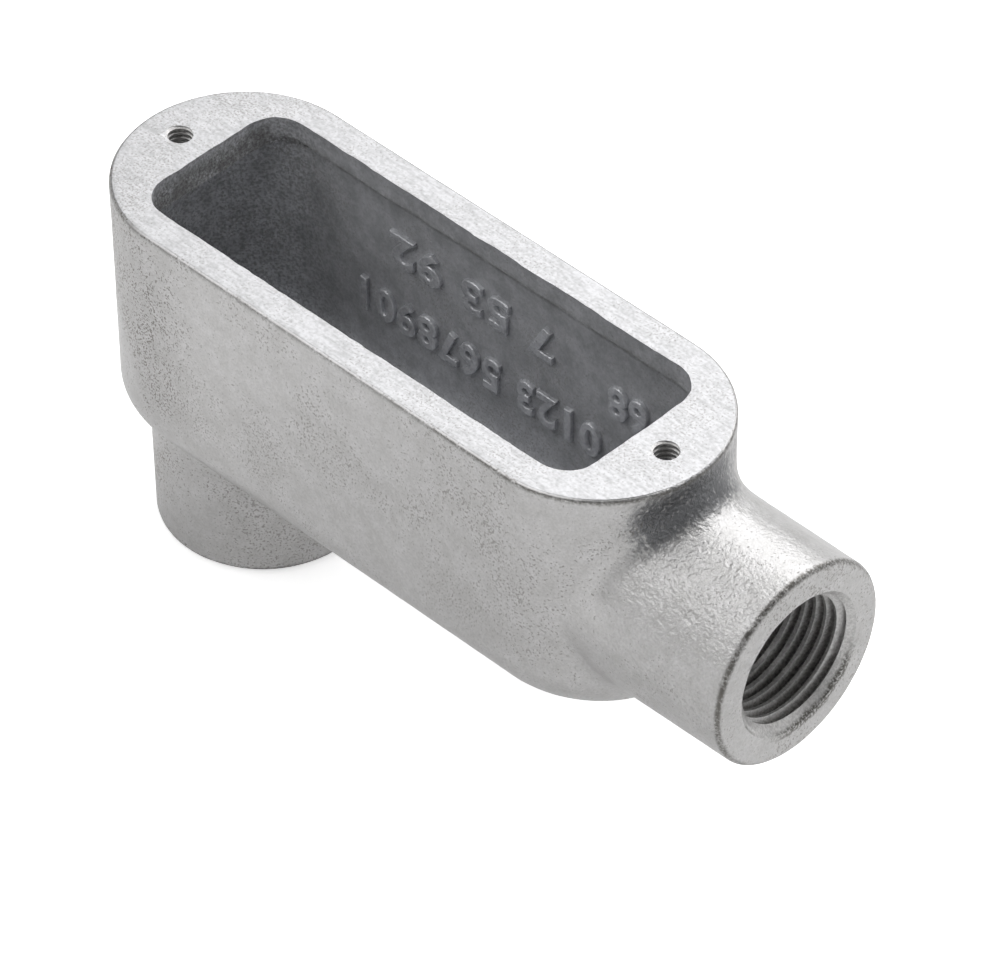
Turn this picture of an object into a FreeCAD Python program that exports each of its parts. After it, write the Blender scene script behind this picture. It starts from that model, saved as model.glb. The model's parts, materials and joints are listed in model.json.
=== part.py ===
import FreeCAD, Part
import math
import os
import Sketcher

# Threaded conduit body, angle type, half-inch trade size: one casting.
# Frame: the origin is at the centre of the rim face, the machined face that the cover seats on.
# +Z points out of the cover opening and +X along the trough to the end hub, so the back hub
# points down -Z. The plane y = 0 is the plane of symmetry. Sizes are in millimetres and degrees.

DOCUMENT = "ConduitBody"
PARTS_FOLDER = "parts"
NODE = "conduit_body"

# Each size that a drawing of the casting would state, and what it measures.
SIZES = [
    ("BodyLength", 100.6, "outside length of the trough at the rim, hubs left out"),
    ("BodyWidth", 35.0, "outside width of the trough at the rim"),
    ("BodyDepth", 39.0, "rim face to the underside of the trough"),
    ("BodyDraft", 0.3, "draft of the trough's outside, in degrees"),
    ("GrindingStock", 6.0, "metal above the rim face as cast, ground off afterwards"),
    ("UndersideRound", 6.7, "radius along the trough's lower outside edge"),
    ("WallThickness", 3.3, "side and end walls, measured at the lugs"),
    ("FloorThickness", 3.5, "floor of the trough"),
    ("CoreDraft", 0.5, "draft of the cored chamber, in degrees"),
    ("CoreRound", 3.5, "radius where the chamber's walls meet its floor"),
    ("OpeningLength", 78.6, "cover opening, lengthwise"),
    ("OpeningWidth", 25.1, "cover opening, crosswise"),
    ("OpeningCorner", 4.8, "corner radius of the cover opening"),
    ("LipDepth", 3.3, "depth of the lip along the long sides of the opening"),
    ("LugDepth", 5.0, "depth of the two lugs that take the cover screws"),
    ("RimRound", 0.5, "radius along the outer edge of the rim face"),
    ("ScrewInset", 5.9, "trough's end to the axis of the cover screw hole in its lug"),
    ("ScrewDrill", 3.45, "tapping drill of the cover screw holes"),
    ("HubDiameter", 30.0, "outside diameter of both hubs at their mouths"),
    ("HubDraft", 0.5, "draft of both hubs, in degrees"),
    ("HubEdgeRound", 1.1, "radius round the outer edge of a hub's mouth"),
    ("EndHubReach", 17.5, "trough's end to the end hub's mouth"),
    ("EndHubLift", 2.3, "trough's underside to the end hub's side at its mouth"),
    ("EndHubBlend", 4.5, "radius where the end hub grows out of the trough"),
    ("BackHubReach", 17.5, "trough's underside to the back hub's mouth"),
    ("BackHubInset", 19.8, "trough's closed end to the back hub's axis"),
    ("BackHubBlend", 1.5, "radius where the back hub grows out of the trough"),
    ("TapDrill", 18.3, "tapping drill of the half-inch pipe thread"),
    ("TapDepth", 14.0, "hub mouth to the end of the tapping drill"),
    ("MouthDiameter", 21.2, "wide end of the chamfer in a hub's mouth"),
    ("ThroatDiameter", 15.8, "smooth throat that the wires are pulled over"),
    ("ThroatLength", 2.0, "straight part of the throat"),
    ("ThroatBell", 3.0, "radius of the throat's bell towards the chamber"),
]

# Sizes that follow from the ones above. Heights are below the rim face, so they are negative.
DERIVED = [
    ("HalfWidth", "=BodyWidth / 2"),
    ("ArcCentre", "=BodyLength / 2 - HalfWidth"),
    ("ScrewSpacing", "=BodyLength - 2 * ScrewInset"),
    ("LipHeight", "=-LipDepth"),
    ("LugHeight", "=-LugDepth"),
    ("UndersideHeight", "=-BodyDepth"),
    ("UndersideRadius", "=HalfWidth - BodyDepth * tan(BodyDraft * 1deg)"),
    ("FloorHeight", "=FloorThickness - BodyDepth"),
    ("CoreRadius", "=HalfWidth - WallThickness"),
    ("OpeningHalfLength", "=OpeningLength / 2"),
    ("OpeningHalfWidth", "=OpeningWidth / 2"),
    ("GrindingHalfLength", "=BodyLength / 2 + GrindingStock"),
    ("GrindingHalfWidth", "=HalfWidth + GrindingStock"),
    ("EndHubFace", "=BodyLength / 2 + EndHubReach"),
    ("EndHubHeight", "=EndHubLift + HubDiameter / 2 - BodyDepth"),
    ("EndHubRoot", "=EndHubReach + HalfWidth"),
    ("BackHubPlace", "=BackHubInset - BodyLength / 2"),
    ("BackHubFace", "=-BodyDepth - BackHubReach"),
    ("BackHubRoot", "=BackHubReach + UndersideRound"),
    ("MouthRadius", "=MouthDiameter / 2"),
    ("TapRadius", "=TapDrill / 2"),
    ("ThroatRadius", "=ThroatDiameter / 2"),
    ("ChamferDepth", "=MouthRadius - TapRadius"),
    ("StepDepth", "=TapDepth + TapRadius - ThroatRadius"),
    ("ThroatDepth", "=StepDepth + ThroatLength"),
    ("BellDepth", "=ThroatDepth + ThroatBell"),
    ("BellRadius", "=ThroatRadius + ThroatBell"),
    ("EndBoreEnd", "=EndHubReach + HalfWidth"),
    ("BackBoreEnd", "=BackHubReach + FloorThickness + CoreRound"),
]

# Names for the sketcher's numbers: the points of a line or an arc, and the sketch's own axes.
START, END, CENTRE = 1, 2, 3
AXES = -1
QUARTER = math.pi / 2
NORMAL = FreeCAD.Vector(0, 0, 1)
EDGE_TOLERANCE = 0.01
EDGE_SAMPLES = 5


def make_sheet(doc):
    """Put every size in a spreadsheet cell that carries the size's name."""
    sheet = doc.addObject("Spreadsheet::Sheet", "Sizes")
    rows = [(name, str(value), note) for name, value, note in SIZES]
    rows += [(name, formula, "follows from the sizes above") for name, formula in DERIVED]
    for row, (name, content, note) in enumerate(rows, start=1):
        sheet.set("A%d" % row, name)
        sheet.setAlias("B%d" % row, name)
        sheet.set("B%d" % row, content)
        sheet.set("C%d" % row, note)
    doc.recompute()


def size(item, name):
    """Read one size back from the sheet."""
    return float(getattr(item.Document.Sizes, name))


def point(item, across, up):
    """Give a sketch point from the names of two sizes, or 0 for a point on an axis."""
    return FreeCAD.Vector(*[size(item, name) if name else 0.0 for name in (across, up)], 0)


def dimension(sketch, name, kind, *where):
    """Add a dimension to a sketch and tie it to the size of the same name."""
    index = sketch.addConstraint(Sketcher.Constraint(kind, *where, size(sketch, name)))
    sketch.renameConstraint(index, name)
    sketch.setExpression("Constraints." + name, "Sizes." + name)


def constrain(sketch, kind, *rows):
    """Add one constraint of a kind for each row of what it acts on."""
    for row in rows:
        sketch.addConstraint(Sketcher.Constraint(kind, *row))


def new_sketch(body, name, role, turn=0.0, **offsets):
    """Make a sketch on one of the body's origin planes, turned in it and shifted by sizes."""
    sketch = body.newObject("Sketcher::SketchObject", name)
    plane = next(item for item in body.Origin.OriginFeatures if item.Role == role)
    sketch.AttachmentSupport = (plane, [""])
    sketch.MapMode = "FlatFace"
    sketch.AttachmentOffset = FreeCAD.Placement(FreeCAD.Vector(), FreeCAD.Rotation(NORMAL, turn))
    for direction, size_name in offsets.items():
        sketch.setExpression("AttachmentOffset.Base." + direction, "Sizes." + size_name)
    return sketch


def add_feature(body, kind, sketch, **settings):
    """Add a feature that is made from a sketch. A setting given as text is a formula of the sheet."""
    feature = body.newObject("PartDesign::" + kind, sketch.Name + kind)
    feature.Profile = sketch
    for name, value in settings.items():
        if isinstance(value, str):
            feature.setExpression(name, value)
        else:
            setattr(feature, name, value)
    body.Document.recompute()


def round_edges(body, name, radius_name, chosen):
    """Round the edges of the body's present shape that a test chooses."""
    tip = body.Tip
    names = ["Edge%d" % number for number, edge in enumerate(tip.Shape.Edges, start=1) if chosen(edge)]
    if not names:
        raise RuntimeError("%s finds no edge" % name)
    feature = body.newObject("PartDesign::Fillet", name)
    feature.Base = (tip, names)
    feature.setExpression("Radius", "Sizes." + radius_name)
    body.Document.recompute()


def lies_in(axis, value):
    """Return a test for edges that lie in the plane where one coordinate has the given value."""
    def test(edge):
        box = edge.BoundBox
        ends = (getattr(box, axis + "Min"), getattr(box, axis + "Max"))
        return all(abs(end - value) < EDGE_TOLERANCE for end in ends)
    return test


def on_hub(body, mouth, growth):
    """Return a test for edges that lie on a hub's side, away from its mouth."""
    radius = size(body, "HubDiameter") / 2
    slope = math.tan(math.radians(size(body, "HubDraft")))

    def test(edge):
        for sample in edge.discretize(EDGE_SAMPLES):
            offset = sample - mouth
            depth = offset.dot(growth)
            off_side = (offset - growth * depth).Length - (radius + slope * depth)
            if depth < EDGE_TOLERANCE or abs(off_side) > EDGE_TOLERANCE:
                return False
        return True
    return test


def obround(sketch, centre_name, radius_name):
    """Draw two straight sides and two half rounds about the sketch's origin."""
    up = point(sketch, 0, radius_name)
    along = point(sketch, centre_name, 0)
    radius = up.Length
    sketch.addGeometry([
        Part.LineSegment(up - along, up + along),
        Part.ArcOfCircle(Part.Circle(along, NORMAL, radius), -QUARTER, QUARTER),
        Part.LineSegment(along - up, -along - up),
        Part.ArcOfCircle(Part.Circle(-along, NORMAL, radius), QUARTER, 3 * QUARTER),
    ])
    far, right, near, left = range(4)
    joints = [(far, END, right, END), (near, START, right, START)]
    joints += [(near, END, left, END), (far, START, left, START)]
    constrain(sketch, "Tangent", *joints)
    constrain(sketch, "Horizontal", (far,))
    constrain(sketch, "Symmetric", (right, CENTRE, left, CENTRE, AXES, START))
    constrain(sketch, "PointOnObject", (right, CENTRE, AXES))
    dimension(sketch, centre_name, "DistanceX", AXES, START, right, CENTRE)
    dimension(sketch, radius_name, "Radius", right)


def rounded_rectangle(sketch, length_name, width_name, corner_name):
    """Draw a rectangle with rounded corners about the sketch's origin, from its half length and width."""
    corner = size(sketch, corner_name)
    outer = point(sketch, length_name, width_name)
    inner = outer - FreeCAD.Vector(corner, corner, 0)
    turns = [(1, 1), (1, -1), (-1, -1), (-1, 1)]
    for number, (right, up) in enumerate(turns):
        last_right, last_up = turns[number - 1]
        if right == last_right:
            line_start = FreeCAD.Vector(outer.x * right, inner.y * last_up, 0)
            line_end = FreeCAD.Vector(outer.x * right, inner.y * up, 0)
        else:
            line_start = FreeCAD.Vector(inner.x * last_right, outer.y * up, 0)
            line_end = FreeCAD.Vector(inner.x * right, outer.y * up, 0)
        sketch.addGeometry(Part.LineSegment(line_start, line_end))
    for number, (right, up) in enumerate(turns):
        circle = Part.Circle(FreeCAD.Vector(inner.x * right, inner.y * up, 0), NORMAL, corner)
        sketch.addGeometry(Part.ArcOfCircle(circle, -number * QUARTER, (1 - number) * QUARTER))
    top, right_side, bottom, left_side = range(4)
    first_arc, second_arc, third_arc, fourth_arc = range(4, 8)
    joints = [(top, END, first_arc, END), (right_side, START, first_arc, START)]
    joints += [(right_side, END, second_arc, END), (bottom, START, second_arc, START)]
    joints += [(bottom, END, third_arc, END), (left_side, START, third_arc, START)]
    joints += [(left_side, END, fourth_arc, END), (top, START, fourth_arc, START)]
    constrain(sketch, "Tangent", *joints)
    constrain(sketch, "Horizontal", (top,), (bottom,))
    constrain(sketch, "Vertical", (right_side,), (left_side,))
    constrain(sketch, "Equal", (first_arc, second_arc), (first_arc, third_arc), (first_arc, fourth_arc))
    constrain(sketch, "Symmetric", (first_arc, CENTRE, third_arc, CENTRE, AXES, START))
    dimension(sketch, length_name, "DistanceX", AXES, START, right_side, START)
    dimension(sketch, width_name, "DistanceY", AXES, START, top, START)
    dimension(sketch, corner_name, "Radius", first_arc)


def make_trough(body):
    """The obround trough as a solid block, grown up from its underside past the rim face."""
    sketch = new_sketch(body, "Trough", "XY_Plane", z="UndersideHeight")
    obround(sketch, "ArcCentre", "UndersideRadius")
    height = "Sizes.BodyDepth + Sizes.GrindingStock"
    add_feature(body, "Pad", sketch, Length=height, TaperAngle="Sizes.BodyDraft")
    round_edges(body, "Underside", "UndersideRound", lies_in("Z", size(body, "UndersideHeight")))


def grind_rim(body):
    """Grind the casting down to the rim face, and break the face's outer edge."""
    sketch = new_sketch(body, "Grinding", "XY_Plane")
    rounded_rectangle(sketch, "GrindingHalfLength", "GrindingHalfWidth", "RimRound")
    add_feature(body, "Pocket", sketch, Length="Sizes.GrindingStock", Reversed=True)
    round_edges(body, "RimEdge", "RimRound", lies_in("Z", 0.0))


def make_hub(body, name, plane, growth, **offsets):
    """A drafted round boss, drawn at its mouth and grown back into the trough."""
    sketch = new_sketch(body, name, plane, **offsets)
    sketch.addGeometry(Part.Circle(FreeCAD.Vector(), NORMAL, size(body, "HubDiameter") / 2))
    constrain(sketch, "Coincident", (0, CENTRE, AXES, START))
    dimension(sketch, "HubDiameter", "Diameter", 0)
    toward_minus = growth.x < 0
    root = "Sizes.%sRoot" % name
    add_feature(body, "Pad", sketch, Length=root, TaperAngle="Sizes.HubDraft", Reversed=toward_minus)
    mouth = sketch.Placement.Base
    round_edges(body, name + "Rise", name + "Blend", on_hub(body, mouth, growth))
    at_mouth = lies_in("X", mouth.x) if growth.x else lies_in("Z", mouth.z)
    round_edges(body, name + "Edge", "HubEdgeRound", at_mouth)


def make_chamber(body):
    """The cored space: the chamber below the lugs, the undercut below the lip, and the cover opening."""
    chamber = new_sketch(body, "Chamber", "XY_Plane", z="LugHeight")
    obround(chamber, "ArcCentre", "CoreRadius")
    depth = "Sizes.LugHeight - Sizes.FloorHeight"
    add_feature(body, "Pocket", chamber, Length=depth, TaperAngle="-Sizes.CoreDraft")
    round_edges(body, "FloorEdge", "CoreRound", lies_in("Z", size(body, "FloorHeight")))
    undercut = new_sketch(body, "Undercut", "XY_Plane", z="LipHeight")
    rounded_rectangle(undercut, "OpeningHalfLength", "CoreRadius", "OpeningCorner")
    add_feature(body, "Pocket", undercut, Length="Sizes.LugDepth - Sizes.LipDepth")
    opening = new_sketch(body, "Opening", "XY_Plane")
    rounded_rectangle(opening, "OpeningHalfLength", "OpeningHalfWidth", "OpeningCorner")
    add_feature(body, "Pocket", opening, Length="Sizes.LipDepth")


def make_screw_holes(body):
    """The two holes for the cover screws, through the lugs."""
    sketch = new_sketch(body, "ScrewHoles", "XY_Plane")
    along = FreeCAD.Vector(size(body, "ScrewSpacing") / 2, 0, 0)
    for centre in (-along, along):
        sketch.addGeometry(Part.Circle(centre, NORMAL, size(body, "ScrewDrill") / 2))
    constrain(sketch, "Equal", (0, 1))
    constrain(sketch, "Symmetric", (0, CENTRE, 1, CENTRE, AXES, START))
    constrain(sketch, "PointOnObject", (1, CENTRE, AXES))
    dimension(sketch, "ScrewSpacing", "DistanceX", 0, CENTRE, 1, CENTRE)
    dimension(sketch, "ScrewDrill", "Diameter", 0)
    add_feature(body, "Pocket", sketch, Length="Sizes.LugDepth")


def bore_hub(body, name, inward, **offsets):
    """Turn a hub's hole: a chamfer, the tapping drill, a throat and its bell to the chamber.

    The sketch's own x axis is the hub's axis, and runs inward from the mouth.
    """
    sketch = new_sketch(body, name, "XZ_Plane", inward, **offsets)
    end_name = name + "End"
    places = [
        (0, 0), (0, "MouthRadius"), ("ChamferDepth", "TapRadius"), ("TapDepth", "TapRadius"),
        ("StepDepth", "ThroatRadius"), ("ThroatDepth", "ThroatRadius"),
        ("BellDepth", "BellRadius"), (end_name, "BellRadius"), (end_name, 0),
    ]
    corners = [point(sketch, depth, radius) for depth, radius in places]
    straight = [Part.LineSegment(*pair) for pair in zip(corners, corners[1:] + corners[:1])]
    face, chamfer, drilled, step, throat, bell, relief, inner_end, axis = range(len(straight))
    bell_centre = point(sketch, "ThroatDepth", "BellRadius")
    bell_circle = Part.Circle(bell_centre, NORMAL, size(body, "ThroatBell"))
    straight[bell] = Part.ArcOfCircle(bell_circle, -QUARTER, 0.0)
    sketch.addGeometry(straight)
    joints = [(number, END, number + 1, START) for number in range(axis)]
    constrain(sketch, "Coincident", *joints, (axis, END, face, START), (face, START, AXES, START))
    constrain(sketch, "Horizontal", (drilled,), (throat,), (relief,), (bell, CENTRE, bell, END))
    constrain(sketch, "Vertical", (face,), (inner_end,), (bell, CENTRE, bell, START))
    constrain(sketch, "PointOnObject", (inner_end, END, AXES))
    dimension(sketch, "MouthRadius", "DistanceY", AXES, START, face, END)
    dimension(sketch, "TapRadius", "DistanceY", AXES, START, drilled, START)
    dimension(sketch, "ThroatRadius", "DistanceY", AXES, START, throat, START)
    dimension(sketch, "ChamferDepth", "DistanceX", AXES, START, drilled, START)
    dimension(sketch, "TapDepth", "DistanceX", AXES, START, drilled, END)
    dimension(sketch, "StepDepth", "DistanceX", AXES, START, throat, START)
    dimension(sketch, "ThroatDepth", "DistanceX", AXES, START, throat, END)
    dimension(sketch, "ThroatBell", "Radius", bell)
    dimension(sketch, end_name, "DistanceX", AXES, START, inner_end, END)
    add_feature(body, "Groove", sketch, ReferenceAxis=(sketch, ["H_Axis"]), Angle=360.0)


def check(doc, body):
    """Stop if a feature failed or the casting isn't one valid solid."""
    doc.recompute()
    for item in doc.Objects:
        if "Invalid" in item.State or "Error" in item.State:
            raise RuntimeError("%s did not compute" % item.Name)
    shape = body.Shape
    if shape.isNull() or not shape.isValid() or len(shape.Solids) != 1:
        raise RuntimeError("%s isn't one valid solid" % body.Label)


def main():
    doc = FreeCAD.newDocument(DOCUMENT)
    make_sheet(doc)
    body = doc.addObject("PartDesign::Body", "ConduitBodyCasting")
    body.Label = NODE
    make_trough(body)
    make_hub(body, "EndHub", "YZ_Plane", FreeCAD.Vector(-1, 0, 0), y="EndHubHeight", z="EndHubFace")
    make_hub(body, "BackHub", "XY_Plane", FreeCAD.Vector(0, 0, 1), x="BackHubPlace", z="BackHubFace")
    grind_rim(body)
    make_chamber(body)
    make_screw_holes(body)
    bore_hub(body, "EndBore", 180.0, x="EndHubFace", y="EndHubHeight")
    bore_hub(body, "BackBore", 90.0, x="BackHubPlace", y="BackHubFace")
    check(doc, body)
    os.makedirs(PARTS_FOLDER, exist_ok=True)
    body.Shape.exportStep(os.path.join(PARTS_FOLDER, body.Label + ".step"))


main()
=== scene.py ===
"""Looks of a threaded conduit body: the plated casting with its cut threads, and the studio round it."""

import json
import math

import bmesh
import bpy
from mathutils import Euler, Matrix, Vector, noise

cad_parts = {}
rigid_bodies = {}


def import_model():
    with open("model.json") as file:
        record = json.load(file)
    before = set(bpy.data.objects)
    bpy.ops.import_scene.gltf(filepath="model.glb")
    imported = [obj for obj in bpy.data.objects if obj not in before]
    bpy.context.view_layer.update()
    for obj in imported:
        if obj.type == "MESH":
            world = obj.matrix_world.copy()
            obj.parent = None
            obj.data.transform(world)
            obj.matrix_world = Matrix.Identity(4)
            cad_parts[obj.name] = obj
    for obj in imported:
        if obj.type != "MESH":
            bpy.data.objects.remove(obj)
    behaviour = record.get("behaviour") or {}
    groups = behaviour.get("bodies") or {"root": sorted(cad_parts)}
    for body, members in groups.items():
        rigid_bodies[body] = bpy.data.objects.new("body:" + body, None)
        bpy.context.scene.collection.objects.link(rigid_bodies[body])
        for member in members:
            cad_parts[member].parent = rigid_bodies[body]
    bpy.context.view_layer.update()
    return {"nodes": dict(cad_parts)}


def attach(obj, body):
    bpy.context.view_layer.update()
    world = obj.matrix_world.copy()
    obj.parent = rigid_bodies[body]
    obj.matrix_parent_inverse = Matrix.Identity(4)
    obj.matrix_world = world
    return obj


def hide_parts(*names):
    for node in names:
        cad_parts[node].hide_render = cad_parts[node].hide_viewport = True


bl_info = {
    "name": "Conduit body",
    "version": (1, 0, 0),
    "blender": (4, 5, 0),
    "location": "3D View > Sidebar > Conduit Body",
    "description": "Dresses a cast conduit body: threads, cast grain, numerals, plating and studio",
    "category": "Object",
}

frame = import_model()

NODE = "conduit_body"
BODY = "root"

MM = 0.001
FULL_TURN = 2 * math.pi

# The casting's own places, in millimetres in the part's frame. They repeat the model's sizes.
RIM_HALF_STRAIGHT = 32.8
TROUGH_RADIUS = 17.5
TROUGH_END = 50.3
CORE_HALF_WIDTH = 14.2
CORE_DRAFT = math.radians(0.5)
LIP_BOTTOM = -3.3
LUG_BOTTOM = -5.0
OPENING_CORNER = 4.8
OPENING_CORNER_AT = Vector((34.5, 7.75))
SCREW_PLACES = (-44.4, 44.4)
SCREW_BORE = 1.725
PIPE_BORE = 9.15
HUB_RADIUS = 15.0
END_HUB_AXIS = Vector((0.0, 0.0, -21.7))
END_HUB_FACE = 67.8
BACK_HUB_AXIS = Vector((-30.5, 0.0, 0.0))
BACK_HUB_FACE = -56.5

# Limits between the zones of the surface, in millimetres: halfway through the wall and the floor,
# where the wall starts to curve in, and just outside the tapped holes.
WALL_MIDDLE = 15.9
WALL_CURVES_BELOW = -30.0
WALL_CURVE_SLOPE = 0.35
FLOOR_MIDDLE = -37.2
PIPE_REACH = 11.1
PIPE_START_X = 46.3
PIPE_START_Z = -35.6
SCREW_REACH = 2.3
SCREW_END_Z = -5.2
FACE_MARGIN = 0.02

# A tap's tooth: the slope of its flanks, and in pitches its blunt tip, its widest half, how far it
# reaches into the bore and how far before the mouth it starts. Over its last turn it fades out.
TOOTH_FLANK = math.radians(30)
TOOTH_TIP = 0.04
TOOTH_HALF_WIDTH = 0.48
TOOTH_BELOW_BORE = 0.5
TOOTH_LEAD = 1.5
TOOTH_FADE = 0.5
PIPE_TAP_STEPS = 84
SCREW_TAP_STEPS = 28
SCREW_TAP_DEPTH = 6.0

# Tolerances of the mesh work: points that count as one, edges too short to keep, planes that meet
# a point, and the turns at which flat faces join and smooth ones part.
SAME_PLACE = 0.002 * MM
SAME_NUMERAL_PLACE = 0.001 * MM
TINY_EDGE = 0.02 * MM
NEARLY = 0.0001 * MM
FLAT_TURN = math.radians(0.2)
CASTING_SHARP_TURN = math.radians(32)
NUMERAL_SHARP_TURN = math.radians(40)

# The numerals' font: its size for a numeral of height 1, its spacing, and in millimetres how much
# the strokes are widened and the bevel that rounds them.
FONT_RATIO = 1.4
FONT_SPACING = 1.1
STROKE_WIDER = 0.03
STROKE_BEVEL = 0.21
STROKE_BEVEL_STEPS = 2
STROKE_CURVE_STEPS = 6

# The middle of each row of numerals, as x and z on the wall, and its length, in millimetres.
UPPER_ROW = ((-4.0, -12.2), 30.0)
LOWER_ROW = ((-3.2, -23.6), 44.5)
END_GROUP = ((24.6, -14.4), 7.0)

# The zones that the finish tells apart, face by face, and at each vertex the wear, painted shade and
# painted reflection that it reads.
ZONES = ("ground", "bored", "cored")
WEAR_AND_SHADE = ("pebble", "thin", "edge", "clean")

# The noises of the finish: features on a millimetre, detail and roughness. In order they are slow
# patches of 12 mm, clouds of 3 mm, gravel of 0.8 mm, lumps of 0.5 mm, sand grain of 0.35 mm and
# pits of 0.3 mm.
NOISES = {
    "patch": (0.08, 1.0, 0.5),
    "cloud": (0.33, 4.0, 0.7),
    "gravel": (1.3, 3.0, 0.7),
    "lumps": (2.0, 1.0, 0.4),
    "grain": (2.8, 2.0, 0.6),
    "pit": (3.3, 1.0, 0.4),
}

# The grinding's scratches in two directions: the turn of each, and its scale along and across, so
# that a scratch is a few millimetres long and just under a millimetre from the next.
SCRATCHES = ((0.10, (0.30, 1.2, 1.0)), (-0.75, (0.30, 1.6, 1.0)))

# The pitted arc on the end hub's face: its radius in millimetres and the turn of its middle.
ARC_RADIUS = 10.8
ARC_MIDDLE = -1.15

# The stage, in metres: the sweep's radius and height, its gap below the casting, and what the
# lamps look at. Then each lamp's name, place, size and watts.
SWEEP_RADIUS = 2.6
SWEEP_HEIGHT = 1.5
SWEEP_SIDES = 96
FLOOR_GAP = 0.0001
LAMP_TARGET = (0.0, 0.0, -0.02)
LAMPS = (
    ("back_softbox", (-0.22, 0.98, 1.18), 1.9, 24.0),
    ("side_softbox", (0.95, 0.90, 0.95), 1.0, 2.0),
    ("front_softbox", (-0.55, -0.75, 1.25), 1.5, 12.0),
)
ROOM_GREY = 0.08
SENSOR_WIDTH = 36.0
CLIP_START = 0.01


class ConduitCastingSettings(bpy.types.PropertyGroup):
    """Sizes of what is cut into the casting and of its cast skin."""

    pipe_pitch: bpy.props.FloatProperty(
        name="Pipe thread pitch", description="One turn of the hub's thread, 14 to the inch",
        default=1.814 * MM, unit="LENGTH", subtype="DISTANCE")
    pipe_root: bpy.props.FloatProperty(
        name="Pipe thread root", description="Radius at the bottom of the hub's thread, at the mouth",
        default=10.35 * MM, unit="LENGTH", subtype="DISTANCE")
    pipe_depth: bpy.props.FloatProperty(
        name="Pipe thread depth", description="How far the thread runs into the hub",
        default=13.6 * MM, unit="LENGTH", subtype="DISTANCE")
    pipe_taper: bpy.props.FloatProperty(
        name="Pipe thread taper", description="Fall of the thread's radius for each unit of depth",
        default=1 / 32)
    screw_pitch: bpy.props.FloatProperty(
        name="Screw thread pitch", description="One turn of the cover screw's thread, 32 to the inch",
        default=0.794 * MM, unit="LENGTH", subtype="DISTANCE")
    screw_root: bpy.props.FloatProperty(
        name="Screw thread root", description="Radius at the bottom of the cover screw's thread",
        default=2.08 * MM, unit="LENGTH", subtype="DISTANCE")
    facet: bpy.props.FloatProperty(
        name="Facet", description="Spacing of the planes that divide the skin before it is roughened",
        default=0.95 * MM, unit="LENGTH", subtype="DISTANCE")
    skin_depth: bpy.props.FloatProperty(
        name="Skin depth", description="Depth of the slow waves that the sand mould leaves",
        default=0.10 * MM, unit="LENGTH", subtype="DISTANCE")
    pebble_depth: bpy.props.FloatProperty(
        name="Pebble depth", description="Depth of the coarse pebbling on the end hub's shoulder",
        default=0.12 * MM, unit="LENGTH", subtype="DISTANCE")


class ConduitNumeralSettings(bpy.types.PropertyGroup):
    """The plain numerals cast on the inner wall."""

    upper_row: bpy.props.StringProperty(
        name="Upper row", description="Numerals of the row nearer the rim", default="7 53 92")
    lower_row: bpy.props.StringProperty(
        name="Lower row", description="Numerals of the row nearer the floor", default="0123 5678901")
    end_group: bpy.props.StringProperty(
        name="End group", description="Numerals near the end hub", default="68")
    height: bpy.props.FloatProperty(
        name="Height", description="Height of a numeral",
        default=5.2 * MM, unit="LENGTH", subtype="DISTANCE")
    relief: bpy.props.FloatProperty(
        name="Relief", description="How far a numeral stands off the wall, without its rounded edge",
        default=0.44 * MM, unit="LENGTH", subtype="DISTANCE")


class ConduitFinishSettings(bpy.types.PropertyGroup):
    """Colours of the plated casting, as sRGB hex."""

    plated: bpy.props.StringProperty(
        name="Plated skin", description="Zinc over the cast skin", default="C0BFBE")
    pale: bpy.props.StringProperty(
        name="Pale skin", description="Zinc where it lies thicker on the cast skin", default="CDCCCC")
    ground: bpy.props.StringProperty(
        name="Ground face", description="Zinc over the ground rim", default="A8A8A9")
    streaked: bpy.props.StringProperty(
        name="Grinding streaks", description="The brighter streaks of the ground rim", default="C4C4C6")
    cored: bpy.props.StringProperty(
        name="Cored skin", description="Dull zinc inside the chamber", default="B6B7BA")
    # The blotches also carry painted shade where they grow towards the closed end.
    cored_dark: bpy.props.StringProperty(
        name="Cored blotches", description="Where the chamber's plating is thin", default="8C8D90")
    cut: bpy.props.StringProperty(
        name="Cut metal", description="Zinc over the cut threads", default="CAC9C8")
    pitted: bpy.props.StringProperty(
        name="Pits", description="Iron and dirt in the pits", default="7C7873")
    # Dirt, and painted shade along the hubs' mouths, under the rim and the lip, on the lug's face and in
    # the threads' roots.
    grime_and_shade: bpy.props.StringProperty(
        name="Grime", description="Dirt along the edges", default="6C6A66")
    # Painted dark reflection, partly thin plating: this colour darkens the inner corner between the
    # trough's end and the end hub, where the metal mirrors dark surroundings.
    thin: bpy.props.StringProperty(
        name="Thin plating", description="Dark metal in the inner corner over the end hub",
        default="757678")


class ConduitStageSettings(bpy.types.PropertyGroup):
    """The camera, as it stood when the picture was taken."""

    place: bpy.props.FloatVectorProperty(
        name="Camera place", description="Where the camera stands, in the part's frame",
        default=(0.4832614, -0.4701146, 0.5897071), size=3, unit="LENGTH", subtype="TRANSLATION")
    azimuth: bpy.props.FloatProperty(
        name="Azimuth", description="Turn of the camera about the vertical",
        default=math.radians(44.9038), unit="ROTATION", subtype="ANGLE")
    elevation: bpy.props.FloatProperty(
        name="Elevation", description="Height of the camera above the level, as an angle",
        default=math.radians(42.7908), unit="ROTATION", subtype="ANGLE")
    roll: bpy.props.FloatProperty(
        name="Roll", description="Turn of the camera about its own line of sight",
        default=math.radians(-0.4914), unit="ROTATION", subtype="ANGLE")
    lens: bpy.props.FloatProperty(
        name="Focal length", description="Focal length for a 36 mm wide sensor, in millimetres",
        default=249.78)


def linear(hex_colour, alpha=1.0):
    """Turn an sRGB hex colour to linear values."""
    channels = [int(hex_colour[i:i + 2], 16) / 255 for i in (0, 2, 4)]
    return [c / 12.92 if c <= 0.04045 else ((c + 0.055) / 1.055) ** 2.4 for c in channels] + [alpha]


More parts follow.
